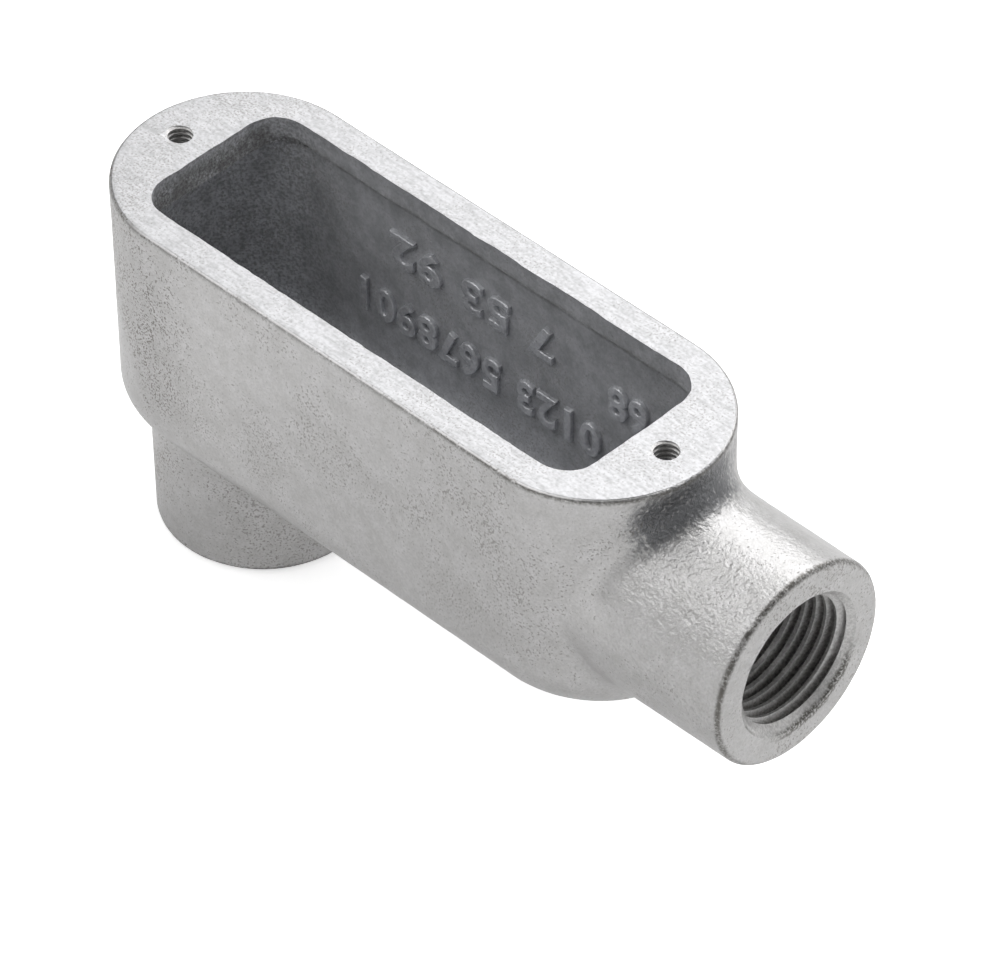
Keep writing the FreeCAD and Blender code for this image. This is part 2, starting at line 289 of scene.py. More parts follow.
def add_node(tree, kind, inputs=None, output=0, **settings):
    """Add a shader node, set it, link or set its inputs, and give back one of its outputs."""
    node = tree.nodes.new("ShaderNode" + kind)
    for name, value in settings.items():
        setattr(node, name, value)
    for name, value in (inputs or {}).items():
        if isinstance(value, bpy.types.NodeSocket):
            tree.links.new(value, node.inputs[name])
        else:
            node.inputs[name].default_value = value
    if output is None or not node.outputs:
        return node.outputs
    return node.outputs[output]


def link_object(name, mesh):
    """Make an object of a mesh and put it in the scene."""
    obj = bpy.data.objects.new(name, mesh)
    bpy.context.scene.collection.objects.link(obj)
    return obj


def finish_piece(obj, material):
    """Let a piece ride on the casting's body and take its slot and finish."""
    obj.data.materials.clear()
    obj.data.materials.append(material)
    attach(obj, BODY)


# Cutting the threads

def helix_cutter(name, pitch, root, inner, depth, taper, steps):
    """A ridge wound round +Z, the shape that a tap's teeth cut out. The mouth is at zero."""
    flank = math.tan(TOOTH_FLANK)
    tip = pitch * TOOTH_TIP
    height = root - inner
    wide = min(tip + flank * height, pitch * TOOTH_HALF_WIDTH)
    shoulder = root - (wide - tip) / flank
    low = inner - pitch * TOOTH_BELOW_BORE
    profile = [(low, -wide), (shoulder, -wide), (root, -tip), (root, tip), (shoulder, wide), (low, wide)]
    start = -TOOTH_LEAD * pitch
    turns = (depth - start) / pitch
    count = round(turns * steps)
    bm = bmesh.new()
    corners = [bm.verts.new((radius, 0.0, start + along)) for radius, along in profile]
    face = bm.faces.new(corners)
    bmesh.ops.spin(
        bm, geom=[face, *face.edges, *face.verts], cent=(0, 0, 0), axis=(0, 0, 1),
        dvec=(0, 0, pitch / steps), angle=FULL_TURN * count / steps, steps=count,
        use_merge=False, use_duplicate=False)
    for vert in bm.verts:
        radius = math.hypot(vert.co.x, vert.co.y)
        fall = taper * max(vert.co.z, 0.0) + max(vert.co.z - depth + pitch, 0.0) * TOOTH_FADE
        keep = (radius - fall) / radius
        vert.co.x *= keep
        vert.co.y *= keep
    bmesh.ops.recalc_face_normals(bm, faces=bm.faces)
    mesh = bpy.data.meshes.new(name)
    bm.to_mesh(mesh)
    bm.free()
    return mesh


def cut_all(target, cutters):
    """Cut every cutter out of the target and keep only the result."""
    for cutter in cutters:
        modifier = target.modifiers.new("Cut", "BOOLEAN")
        modifier.operation = "DIFFERENCE"
        modifier.solver = "MANIFOLD"
        modifier.object = cutter
    depsgraph = bpy.context.evaluated_depsgraph_get()
    mesh = bpy.data.meshes.new_from_object(target.evaluated_get(depsgraph))
    target.modifiers.clear()
    old = target.data
    target.data = mesh
    bpy.data.meshes.remove(old)
    for cutter in cutters:
        bpy.data.objects.remove(cutter)


def put_in_order(bm):
    """Number the mesh by place, because cutting leaves it in another order each time."""
    orders = [
        (bm.verts, lambda vert: tuple(vert.co)),
        (bm.edges, lambda edge: sorted(vert.index for vert in edge.verts)),
        (bm.faces, lambda face: sorted(vert.index for vert in face.verts)),
    ]
    for parts, order in orders:
        for number, part in enumerate(sorted(parts, key=order)):
            part.index = number
        parts.sort()


def thread_cutters(settings):
    """The two pipe taps and the two screw taps, each where it enters the casting."""
    pipe_tap = helix_cutter(
        "pipe_tap", settings.pipe_pitch, settings.pipe_root, PIPE_BORE * MM,
        settings.pipe_depth, settings.pipe_taper, PIPE_TAP_STEPS)
    screw_tap = helix_cutter(
        "screw_tap", settings.screw_pitch, settings.screw_root, SCREW_BORE * MM,
        SCREW_TAP_DEPTH * MM, 0.0, SCREW_TAP_STEPS)
    places = [
        (pipe_tap, (END_HUB_FACE, 0.0, END_HUB_AXIS.z), Matrix.Rotation(math.radians(-90), 4, "Y")),
        (pipe_tap, (BACK_HUB_AXIS.x, 0.0, BACK_HUB_FACE), Matrix.Identity(4)),
    ]
    places += [(screw_tap, (x, 0.0, 0.0), Matrix.Rotation(math.pi, 4, "X")) for x in SCREW_PLACES]
    cutters = []
    for mesh, mouth, turn in places:
        cutter = link_object(mesh.name, mesh.copy())
        cutter.data.transform(Matrix.Translation(Vector(mouth) * MM) @ turn)
        cutters.append(cutter)
    return cutters


# The cast skin

def zone_of(point):
    """Say which surface of the casting a point in millimetres belongs to."""
    from_end_axis = math.hypot(point.y, point.z - END_HUB_AXIS.z)
    from_back_axis = math.hypot(point.x - BACK_HUB_AXIS.x, point.y)
    from_screw_axis = min(math.hypot(point.x - x, point.y) for x in SCREW_PLACES)
    if from_end_axis < PIPE_REACH and PIPE_START_X < point.x < END_HUB_FACE - FACE_MARGIN:
        return "bored"
    if from_back_axis < PIPE_REACH and BACK_HUB_FACE + FACE_MARGIN < point.z < PIPE_START_Z:
        return "bored"
    if point.z > -FACE_MARGIN:
        return "ground"
    if from_screw_axis < SCREW_REACH and point.z > SCREW_END_Z:
        return "bored"
    across = math.hypot(max(abs(point.x) - RIM_HALF_STRAIGHT, 0.0), point.y)
    inside = WALL_MIDDLE - WALL_CURVE_SLOPE * max(WALL_CURVES_BELOW - point.z, 0.0)
    if across < inside and point.z > FLOOR_MIDDLE:
        return "cored"
    return "cast"


def waves(point, wavelength, seed):
    """Slow noise of a wavelength in millimetres, from about -1 to 1."""
    return noise.noise(point / wavelength + Vector((seed, seed * 2.0, seed * 3.0)))


def smooth_step(value, low, high):
    """Rise from 0 to 1 between two values, level at both ends."""
    share = min(max((value - low) / (high - low), 0.0), 1.0)
    return share * share * (3 - 2 * share)


def pebbling(point):
    """How strongly the coarse pebbling shows: on the end hub and on its shoulder under the rim."""
    along = smooth_step(point.x, 44.0, 51.0)
    below_rim = smooth_step(-point.z, 1.5, 4.0)
    upper = smooth_step(point.z, -34.0, -20.0)
    crest = smooth_step(point.y, -6.0, 1.0) * smooth_step(point.x, 51.0, 56.0)
    smoother = 1.0 - 0.7 * crest
    return along * below_rim * upper * smoother


def cleanliness(point):
    """Where the skin has few pits: the end hub's side and top."""
    along = smooth_step(point.x, 45.0, 52.0) * (1.0 - smooth_step(point.x, 67.0, 67.6))
    upper = smooth_step(point.z, -30.0, -16.0)
    return along * upper


def thin_plating_and_dark_reflection(point):
    """Where a painted dark reflection, partly thin plating, darkens the inner corner between the trough's
    end and the end hub.
    """
    off_trough = math.hypot(max(point.x - RIM_HALF_STRAIGHT, 0.0), point.y) - TROUGH_RADIUS
    off_hub = math.hypot(point.y, point.z - END_HUB_AXIS.z) - HUB_RADIUS
    near_trough = smooth_step(-off_trough, -3.5, -0.8)
    near_hub = smooth_step(off_hub, -1.4, 1.4) * (1.0 - smooth_step(off_hub, 5.0, 10.0))
    upper = smooth_step(point.z, -15.0, -8.0)
    along = smooth_step(point.x, 40.0, 46.0) * smooth_step(point.y, -12.5, -7.5)
    far_side = 1.0 - 0.5 * smooth_step(point.y, 4.0, 10.0)
    return near_trough * near_hub * upper * along * far_side


def edge_dirt_and_shade(point):
    """How close a point is to an edge darkened by dirt and by painted shade: the hubs' mouths, the rim, the
    lip and the lug's face.
    """
    from_end_axis = math.hypot(point.y, point.z - END_HUB_AXIS.z)
    from_back_axis = math.hypot(point.x - BACK_HUB_AXIS.x, point.y)
    edge_radius = HUB_RADIUS - 0.2
    end_edge = math.hypot(point.x - END_HUB_FACE + 0.4, from_end_axis - edge_radius)
    back_edge = math.hypot(point.z - BACK_HUB_FACE - 0.4, from_back_axis - edge_radius)
    # painted shade with dirt along the hubs' rounded mouths
    mouth = 1.0 - smooth_step(min(end_edge, back_edge), 0.15, 0.75)
    drop = -point.z
    across = math.hypot(max(abs(point.x) - RIM_HALF_STRAIGHT, 0.0), point.y)
    if across > WALL_MIDDLE:
        # painted shade with dirt in a band just under the rim's outer edge, stronger towards the end hub
        rim = smooth_step(drop, 0.05, 0.3) * (1.0 - smooth_step(drop, 0.4, 1.0))
        towards_end_hub = 0.45 + 0.45 * smooth_step(point.x, 5.0, 35.0)
        return max(mouth, rim * towards_end_hub)
    in_lip = abs(point.x) < 38.5 and abs(point.y) < 13.2 and point.z > LIP_BOTTOM - 0.3
    if in_lip:
        # painted shade in the corner under the lip
        lip = 0.45 * smooth_step(drop, 2.6, 3.25)
        return max(mouth, lip)
    on_lug = abs(point.x) < 39.6 and point.z > LUG_BOTTOM - 0.2
    if on_lug:
        # painted shade on the lug's face, darker further below the rim
        lug = 0.7 * smooth_step(drop, 0.8, 2.4)
        return max(mouth, lug)
    return mouth


def thread_dirt_and_shade(point):
    """How deep a point lies in the pipe threads, where dirt gathers and the roots are darkened as painted
    shade.
    """
    from_end_axis = math.hypot(point.y, point.z - END_HUB_AXIS.z)
    from_back_axis = math.hypot(point.x - BACK_HUB_AXIS.x, point.y)
    clean_mouth = 1.6
    if TROUGH_END < point.x < END_HUB_FACE - clean_mouth:
        # painted shade in the thread roots, with dirt
        return 0.75 * smooth_step(from_end_axis, 9.4, 10.1)
    if BACK_HUB_FACE + clean_mouth < point.z < -42.0:
        return 0.75 * smooth_step(from_back_axis, 9.4, 10.1)
    return 0.0


def opening_wear(point):
    """Which way and how far the opening's edge stands back from its drawn line, in millimetres."""
    corner_x = max(abs(point.x) - OPENING_CORNER_AT.x, 0.0)
    corner_y = max(abs(point.y) - OPENING_CORNER_AT.y, 0.0)
    reach = math.hypot(corner_x, corner_y)
    off_edge = abs(reach - OPENING_CORNER) > 0.05
    if point.z < LUG_BOTTOM - 0.1 or off_edge:
        return Vector()
    away = Vector((math.copysign(corner_x, point.x), math.copysign(corner_y, point.y), 0.0)) / reach
    ragged = 0.5 + 0.5 * waves(point, 5.5, 1.7) + 0.35 * waves(point, 1.6, 8.3)
    furthest = 0.32
    return away * max(ragged, 0.0) * furthest


def roughen(bm, settings):
    """Move the cast surfaces in by noise and note each face's zone and each vertex's wear, painted shade
    and painted reflection.
    """
    zones = {name: bm.faces.layers.float.new(name) for name in ZONES}
    for face in bm.faces:
        zone = zone_of(face.calc_center_median() / MM)
        for name in ZONES:
            face[zones[name]] = 1.0 if zone == name else 0.0
    wear_and_shade = {name: bm.verts.layers.float.new(name) for name in WEAR_AND_SHADE}
    bm.normal_update()
    moves = []
    for vert in bm.verts:
        point = vert.co / MM
        zone = zone_of(point)
        if zone == "cast":
            vert[wear_and_shade["pebble"]] = pebbling(point)
            vert[wear_and_shade["thin"]] = thin_plating_and_dark_reflection(point)
            vert[wear_and_shade["clean"]] = cleanliness(point)
        if zone in ("cast", "cored"):
            vert[wear_and_shade["edge"]] = edge_dirt_and_shade(point)
        if zone == "bored":
            vert[wear_and_shade["edge"]] = thread_dirt_and_shade(point)
        back = opening_wear(point)
        if zone in ("ground", "bored"):
            moves.append((vert, back * MM))
            continue
        slow = waves(point, 7.0, 3.1)
        quick = waves(point, 2.4, 9.7)
        shallow = 0.5 + 0.5 * (0.6 * slow + 0.4 * quick)
        coarse = 0.5 + 0.5 * waves(point, 1.5, 5.3)
        inward = settings.skin_depth * shallow + settings.pebble_depth * vert[wear_and_shade["pebble"]] * coarse
        moves.append((vert, vert.normal * -inward + back * MM))
    for vert, move in moves:
        vert.co += move


def divide(bm, axis, spacing):
    """Cut the mesh across one axis by evenly spaced planes, apart from the bored surfaces."""
    across = Vector([float(number == axis) for number in range(3)])
    skin = [face for face in bm.faces if zone_of(face.calc_center_median() / MM) != "bored"]
    waiting = sorted(
        ((min(vert.co[axis] for vert in face.verts), number, face) for number, face in enumerate(skin)),
        reverse=True)
    low = waiting[-1][0]
    high = max(vert.co[axis] for vert in bm.verts)
    count = math.ceil((high - low) / spacing)
    met = []
    for number in range(1, count):
        level = low + (high - low) * number / count
        while waiting and waiting[-1][0] < level - NEARLY:
            met.append(waiting.pop()[2])
        met = [face for face in met if max(vert.co[axis] for vert in face.verts) > level + NEARLY]
        touched = dict.fromkeys(met)
        for face in met:
            touched.update(dict.fromkeys(face.edges))
            touched.update(dict.fromkeys(face.verts))
        parts = bmesh.ops.bisect_plane(
            bm, geom=list(touched), dist=NEARLY, plane_co=across * level, plane_no=across)["geom"]
        met = [part for part in parts if isinstance(part, bmesh.types.BMFace)]


def mark_sharp(bm, angle):
    """Shade smooth but for the edges that turn by more than an angle."""
    for face in bm.faces:
        face.smooth = True
    for edge in bm.edges:
        edge.smooth = len(edge.link_faces) == 2 and edge.calc_face_angle(0.0) < angle


def build_casting(settings, material):
    """Copy the casting's solid, cut its threads and give it its cast skin."""
    source = frame["nodes"][NODE]
    bm = bmesh.new()
    bm.from_mesh(source.data)
    bmesh.ops.remove_doubles(bm, verts=bm.verts, dist=SAME_PLACE)
    mesh = bpy.data.meshes.new("casting")
    bm.to_mesh(mesh)
    bm.free()
    casting = link_object("plated_casting", mesh)
    cut_all(casting, thread_cutters(settings))
    bm = bmesh.new()
    bm.from_mesh(casting.data)

    # each of these steps goes by the mesh's order, so the order is settled before it
    put_in_order(bm)
    bmesh.ops.remove_doubles(bm, verts=bm.verts, dist=SAME_PLACE)
    put_in_order(bm)
    bmesh.ops.dissolve_limit(bm, angle_limit=FLAT_TURN, verts=bm.verts, edges=bm.edges)
    put_in_order(bm)
    for axis in range(3):
        divide(bm, axis, settings.facet)

    # the threads' edges are left alone, because the smallest of them hold the surface closed
    bored = {vert for vert in bm.verts if zone_of(vert.co / MM) == "bored"}
    skin = [edge for edge in bm.edges if bored.isdisjoint(edge.verts)]
    bmesh.ops.dissolve_degenerate(bm, edges=skin, dist=TINY_EDGE)
    bmesh.ops.triangulate(bm, faces=bm.faces)

    roughen(bm, settings)
    mark_sharp(bm, CASTING_SHARP_TURN)
    bm.to_mesh(casting.data)
    bm.free()
    casting.data.update()
    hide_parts(NODE)
    finish_piece(casting, material)


# The numerals on the inner wall

def numeral_row(name, words, middle, length, settings):
    """One row of raised numerals on the far inner wall, turned upside down as the pattern had them."""
    curve = bpy.data.curves.new(name, "FONT")
    curve.body = words
    curve.align_x = "CENTER"
    curve.align_y = "CENTER"
    curve.size = settings.height * FONT_RATIO
    curve.space_character = FONT_SPACING
    curve.offset = STROKE_WIDER * MM
    curve.extrude = settings.relief
    curve.bevel_depth = STROKE_BEVEL * MM
    curve.bevel_resolution = STROKE_BEVEL_STEPS
    curve.resolution_u = STROKE_CURVE_STEPS
    shaped = link_object(name + "_curve", curve)
    depsgraph = bpy.context.evaluated_depsgraph_get()
    mesh = bpy.data.meshes.new_from_object(shaped.evaluated_get(depsgraph))
    bpy.data.objects.remove(shaped)
    wide = [vert.co.x for vert in mesh.vertices]
    narrowed = Matrix.Scale(length * MM / (max(wide) - min(wide)), 4, (1, 0, 0))
    wall = CORE_HALF_WIDTH - (LUG_BOTTOM - middle[1]) * math.tan(CORE_DRAFT)
    place = Matrix.Translation(Vector((middle[0], wall, middle[1])) * MM)
    face_out = Euler((math.radians(90), math.pi, 0.0)).to_matrix().to_4x4()
    mesh.transform(place @ face_out @ narrowed)
    return mesh


def build_numerals(settings, material):
    """All rows of numerals as one piece, marked cored and clean at once so that the finish knows them."""
    bm = bmesh.new()
    rows = [
        (settings.upper_row, *UPPER_ROW),
        (settings.lower_row, *LOWER_ROW),
        (settings.end_group, *END_GROUP),
    ]
    for number, (words, middle, length) in enumerate(rows):
        mesh = numeral_row("numerals_%d" % number, words, middle, length, settings)
        bm.from_mesh(mesh)
        bpy.data.meshes.remove(mesh)
    bmesh.ops.remove_doubles(bm, verts=bm.verts, dist=SAME_NUMERAL_PLACE)
    bmesh.ops.recalc_face_normals(bm, faces=bm.faces)
    cored = bm.faces.layers.float.new("cored")
    for face in bm.faces:
        face[cored] = 1.0
    clean = bm.verts.layers.float.new("clean")
    for vert in bm.verts:
        vert[clean] = 1.0
    mark_sharp(bm, NUMERAL_SHARP_TURN)
    mesh = bpy.data.meshes.new("numerals")
    bm.to_mesh(mesh)
    bm.free()
    numerals = link_object("cast_numerals", mesh)
    finish_piece(numerals, material)


# The finish

def read_surface(tree):
    """What the finish reads at a point: its place in millimetres, its zone, its wear, painted shade and
    painted reflection, and the noises.
    """
    place = add_node(tree, "TexCoord", output="Object")
    mm = add_node(tree, "VectorMath", {0: place, 3: 1 / MM}, operation="SCALE")
    sides = add_node(tree, "SeparateXYZ", {0: mm}, None)
    at = {"mm": mm, "x": sides["X"], "y": sides["Y"], "z": sides["Z"]}
    for name in (*ZONES, *WEAR_AND_SHADE):
        at[name] = add_node(tree, "Attribute", output="Fac", attribute_name=name)
    for name, (scale, detail, rough) in NOISES.items():
        at[name] = add_node(
            tree, "TexNoise", {"Vector": mm, "Scale": scale, "Detail": detail, "Roughness": rough})

    # how near a point is to the closed end, outside and, to a lesser share, inside, where it also sets the
    # painted shade of the dark blotches and the coarser sand
    at["closed"] = add_node(
        tree, "MapRange", {"Value": at["x"], "From Min": -20.0, "From Max": -40.0},
        interpolation_type="SMOOTHSTEP")
    at["far"] = add_node(
        tree, "MapRange",
        {"Value": at["x"], "From Min": -26.0, "From Max": -38.0, "To Min": 0.25, "To Max": 0.8},
        interpolation_type="SMOOTHSTEP")

    # only the raised numerals are both cored and clean
    at["raised"] = add_node(tree, "Math", {0: at["cored"], 1: at["clean"]}, operation="MULTIPLY")
    return at


def add_pits(tree, at):
    """Pits of about 0.2 mm, which gather in patches and at the closed end, with few on the end hub."""
    few = add_node(tree, "MapRange", {
        "Value": at["patch"], "From Min": 0.35, "From Max": 0.62, "To Min": 0.15, "To Max": 0.28})
    limit = add_node(tree, "Math", {0: at["cloud"], 1: 0.34, 2: few}, operation="MULTIPLY_ADD")
    limit = add_node(tree, "Math", {0: at["clean"], 1: -0.10, 2: limit}, operation="MULTIPLY_ADD")
    limit = add_node(tree, "Math", {0: at["closed"], 1: 0.05, 2: limit}, operation="MULTIPLY_ADD")
    depth = add_node(tree, "Math", {0: limit, 1: at["pit"]}, operation="SUBTRACT")
    return add_node(
        tree, "MapRange", {"Value": depth, "From Min": 0.0, "From Max": 0.10},
        interpolation_type="SMOOTHSTEP")


def add_scratches(tree, at):
    """The grinding's scratches: noise drawn out in two directions that cross."""
    ways = []
    for turn, scale in SCRATCHES:
        way = add_node(tree, "Mapping", {"Vector": at["mm"], "Rotation": (0, 0, turn), "Scale": scale})
        ways.append(add_node(tree, "TexNoise", {
            "Vector": way, "Scale": 1.0, "Detail": 3.0, "Roughness": 0.65, "Distortion": 1.2}))
    return add_node(tree, "Mix", {0: 0.5, 2: ways[0], 3: ways[1]})


def add_mouth_arc(tree, at):
    """The pitted arc, about 1 mm wide, where the cut mouth of the end hub broke out of its face."""
    lift = add_node(tree, "Math", {0: at["z"], 1: -END_HUB_AXIS.z}, operation="ADD")
    flat = add_node(tree, "CombineXYZ", {"X": at["y"], "Y": lift})
    reach = add_node(tree, "VectorMath", {0: flat}, "Value", operation="LENGTH")
    off = add_node(tree, "Math", {0: reach, 1: -ARC_RADIUS}, operation="ADD")
    off = add_node(tree, "Math", {0: at["cloud"], 1: 1.2, 2: off}, operation="MULTIPLY_ADD")
    off = add_node(tree, "Math", {0: off, 1: 0.6}, operation="SUBTRACT")
    off = add_node(tree, "Math", {0: off}, operation="ABSOLUTE")
    band = add_node(tree, "MapRange", {"Value": off, "From Min": 0.80, "From Max": 0.40})
    broken = add_node(tree, "MapRange", {"Value": at["pit"], "From Min": 0.72, "From Max": 0.46})
    arc = add_node(tree, "Math", {0: band, 1: broken}, operation="MULTIPLY")
    turn = add_node(tree, "Math", {0: lift, 1: at["y"]}, operation="ARCTAN2")
    span = add_node(tree, "Math", {0: turn, 1: -ARC_MIDDLE}, operation="ADD")
    span = add_node(tree, "Math", {0: span}, operation="ABSOLUTE")
    span = add_node(tree, "MapRange", {"Value": span, "From Min": 0.95, "From Max": 0.55})
    arc = add_node(tree, "Math", {0: arc, 1: span}, operation="MULTIPLY")
    front = add_node(tree, "Math", {0: at["x"], 1: END_HUB_FACE - 0.7}, operation="GREATER_THAN")
    return add_node(tree, "Math", {0: arc, 1: front}, operation="MULTIPLY")


def cast_tone(tree, at, settings):
    """Zinc over the cast skin: clouded, grainy and darker towards the closed end, with a painted dark
    reflection, partly thin plating, in patches in the inner corner over the end hub.
    """
    lighter = add_node(tree, "MapRange", {"Value": at["cloud"], "From Min": 0.34, "From Max": 0.66})
    tone = add_node(
        tree, "Mix", {0: lighter, 6: linear(settings.plated), 7: linear(settings.pale)}, 2,
        data_type="RGBA")
    grainy = add_node(tree, "MapRange", {
        "Value": at["grain"], "From Min": 0.32, "From Max": 0.68, "To Min": 0.90, "To Max": 1.07})
    # darker towards the closed end by up to 18 percent
    darker_to_closed_end = add_node(tree, "Math", {0: at["closed"], 1: -0.18, 2: 1.0}, operation="MULTIPLY_ADD")
    darker_to_closed_end = add_node(tree, "Math", {0: darker_to_closed_end, 1: grainy}, operation="MULTIPLY")
    tone = add_node(tree, "VectorMath", {0: tone, 3: darker_to_closed_end}, operation="SCALE")
    # painted dark reflection, partly thin plating, broken into patches by noise in the inner corner over
    # the end hub
    dark_reflection_patch = add_node(tree, "Mix", {0: 0.45, 2: at["lumps"], 3: at["cloud"]})
    dark_reflection_patch = add_node(tree, "Math", {0: dark_reflection_patch, 1: 3.2, 2: at["thin"]}, operation="MULTIPLY_ADD")
    dark_reflection_patch = add_node(
        tree, "MapRange", {"Value": dark_reflection_patch, "From Min": 1.75, "From Max": 2.5},
        interpolation_type="SMOOTHSTEP")
    dark_reflection_patch = add_node(tree, "Math", {0: at["thin"], 1: dark_reflection_patch}, operation="MULTIPLY")
    return add_node(tree, "Mix", {0: dark_reflection_patch, 6: tone, 7: linear(settings.thin)}, 2, data_type="RGBA")


def ground_tone(tree, at, scratches, settings):
    """Zinc over the ground rim: streaks along the scratches, broken up into flecks."""
    flecks = add_node(tree, "Mix", {0: 0.5, 2: at["lumps"], 3: at["cloud"]})
    mottled = add_node(tree, "Mix", {0: 0.5, 2: scratches, 3: flecks})
    streak = add_node(tree, "MapRange", {"Value": mottled, "From Min": 0.41, "From Max": 0.56})
    return add_node(
        tree, "Mix", {0: streak, 6: linear(settings.ground), 7: linear(settings.streaked)}, 2,
        data_type="RGBA")


def cored_tone(tree, at, settings):
    """Dull zinc inside: blotched by the core's sand and stained, with more blotches as painted shade
    towards the closed end, painted light on the closed end and the floor, and numerals lightened as a
    painted highlight.
    """
    # the dark blotches are the core's sand, and where they grow towards the closed end they are also
    # painted shade
    blotch = add_node(tree, "Mix", {0: 0.5, 2: at["grain"], 3: at["lumps"]})
    blotch = add_node(tree, "MapRange", {"Value": blotch, "From Min": 0.56, "From Max": 0.42})
    blotch = add_node(tree, "Math", {0: at["far"], 1: blotch}, operation="MULTIPLY")
    tone = add_node(
        tree, "Mix", {0: blotch, 6: linear(settings.cored), 7: linear(settings.cored_dark)}, 2,
        data_type="RGBA")
    stained = add_node(tree, "MapRange", {
        "Value": at["cloud"], "From Min": 0.36, "From Max": 0.62, "To Min": 0.78, "To Max": 1.07})
    # painted highlight: the numerals are lightened by half, standing in for glints on their edges
    raised = add_node(tree, "Math", {0: at["raised"], 1: 0.5, 2: 1.0}, operation="MULTIPLY_ADD")
    # painted light: the closed end is lightened up to 1.45 times and the chamber's floor up to 1.35 times
    closed_end_painted_light = add_node(
        tree, "MapRange",
        {"Value": at["x"], "From Min": -32.0, "From Max": -39.0, "To Min": 1.0, "To Max": 1.45},
        interpolation_type="SMOOTHSTEP")
    floor = add_node(tree, "MapRange", {
        "Value": at["z"], "From Min": -27.0, "From Max": -34.0, "To Min": 1.0, "To Max": 1.35})
    for brighter in (stained, raised, closed_end_painted_light, floor):
        tone = add_node(tree, "VectorMath", {0: tone, 3: brighter}, operation="SCALE")
    return tone


def add_dirt_and_shade(tree, at):
    """Dirt and painted shade along the edges, ragged on the cast skin and closer in the threads, and the
    mouth's arc.
    """
    ragged = add_node(tree, "Math", {0: at["cloud"], 1: at["grain"]}, operation="ADD")
    ragged = add_node(tree, "MapRange", {"Value": ragged, "From Min": 1.30, "From Max": 0.90})
    closer = add_node(tree, "MapRange", {
        "Value": at["grain"], "From Min": 0.66, "From Max": 0.40, "To Min": 0.5, "To Max": 1.0})
    ragged = add_node(tree, "Mix", {0: at["bored"], 2: ragged, 3: closer})
    dirt_and_shade = add_node(tree, "Math", {0: at["edge"], 1: ragged}, operation="MULTIPLY", use_clamp=True)
    return add_node(tree, "Math", {0: dirt_and_shade, 1: add_mouth_arc(tree, at)}, operation="MAXIMUM")


def whole_tone(tree, at, pits, scratches, settings):
    """The colour of every zone, with the pits, the dirt and the painted shade on it."""
    tone = cast_tone(tree, at, settings)
    face = ground_tone(tree, at, scratches, settings)
    tone = add_node(tree, "Mix", {0: at["ground"], 6: tone, 7: face}, 2, data_type="RGBA")
    rubbed = add_node(tree, "MapRange", {
        "Value": at["grain"], "From Min": 0.36, "From Max": 0.62, "To Min": 0.82, "To Max": 1.10})
    cut = add_node(tree, "VectorMath", {0: linear(settings.cut)[:3], 3: rubbed}, operation="SCALE")
    tone = add_node(tree, "Mix", {0: at["bored"], 6: tone, 7: cut}, 2, data_type="RGBA")
    inner = cored_tone(tree, at, settings)
    tone = add_node(tree, "Mix", {0: at["cored"], 6: tone, 7: inner}, 2, data_type="RGBA")

    # the pits are darkest at the closed end, and faint on the rim and inside
    spots = add_node(tree, "Math", {0: pits, 1: at["bored"]}, operation="SUBTRACT", use_clamp=True)
    faint = add_node(tree, "MapRange", {"Value": at["closed"], "To Min": 0.55, "To Max": 1.0})
    faint = add_node(tree, "Mix", {0: at["ground"], 2: faint, 3: 0.5})
    faint = add_node(tree, "Mix", {0: at["cored"], 2: faint, 3: 0.35})
    spots = add_node(tree, "Math", {0: spots, 1: faint}, operation="MULTIPLY")
    tone = add_node(tree, "Mix", {0: spots, 6: tone, 7: linear(settings.pitted)}, 2, data_type="RGBA")
    # dirt and painted shade along the edges and in the threads' roots, with the mouth's pitted arc
    dirt_and_shade = add_dirt_and_shade(tree, at)
    return add_node(tree, "Mix", {0: dirt_and_shade, 6: tone, 7: linear(settings.grime_and_shade)}, 2, data_type="RGBA")


def add_relief(tree, at, pits, scratches):
    """Relief in millimetres: sand grain, pebbles and pits, and on the ground rim only the scratches."""
    lumpy = add_node(tree, "Math", {0: at["pebble"], 1: at["thin"]}, operation="MAXIMUM")
    lumpy = add_node(tree, "Math", {0: at["raised"], 1: 0.6, 2: lumpy}, operation="MULTIPLY_ADD")
    pebbles = add_node(tree, "Math", {0: at["gravel"], 1: 2.0, 2: at["lumps"]}, operation="MULTIPLY_ADD")
    pebbles = add_node(tree, "Math", {0: pebbles, 1: lumpy}, operation="MULTIPLY")
    sandy = add_node(tree, "Math", {0: at["cored"], 1: at["far"]}, operation="MULTIPLY")
    sandy = add_node(tree, "Math", {0: sandy, 1: 0.16, 2: 0.035}, operation="MULTIPLY_ADD")
    relief = add_node(tree, "Math", {0: at["grain"], 1: sandy}, operation="MULTIPLY")
    relief = add_node(tree, "Math", {0: pebbles, 1: 0.13, 2: relief}, operation="MULTIPLY_ADD")
    relief = add_node(tree, "Math", {0: pits, 1: -0.03, 2: relief}, operation="MULTIPLY_ADD")
    relief = add_node(tree, "Mix", {0: at["ground"], 2: relief, 3: 0.0})
    lines = add_node(tree, "Math", {0: scratches, 1: at["ground"]}, operation="MULTIPLY")
    return add_node(tree, "Math", {0: lines, 1: 0.012, 2: relief}, operation="MULTIPLY_ADD")


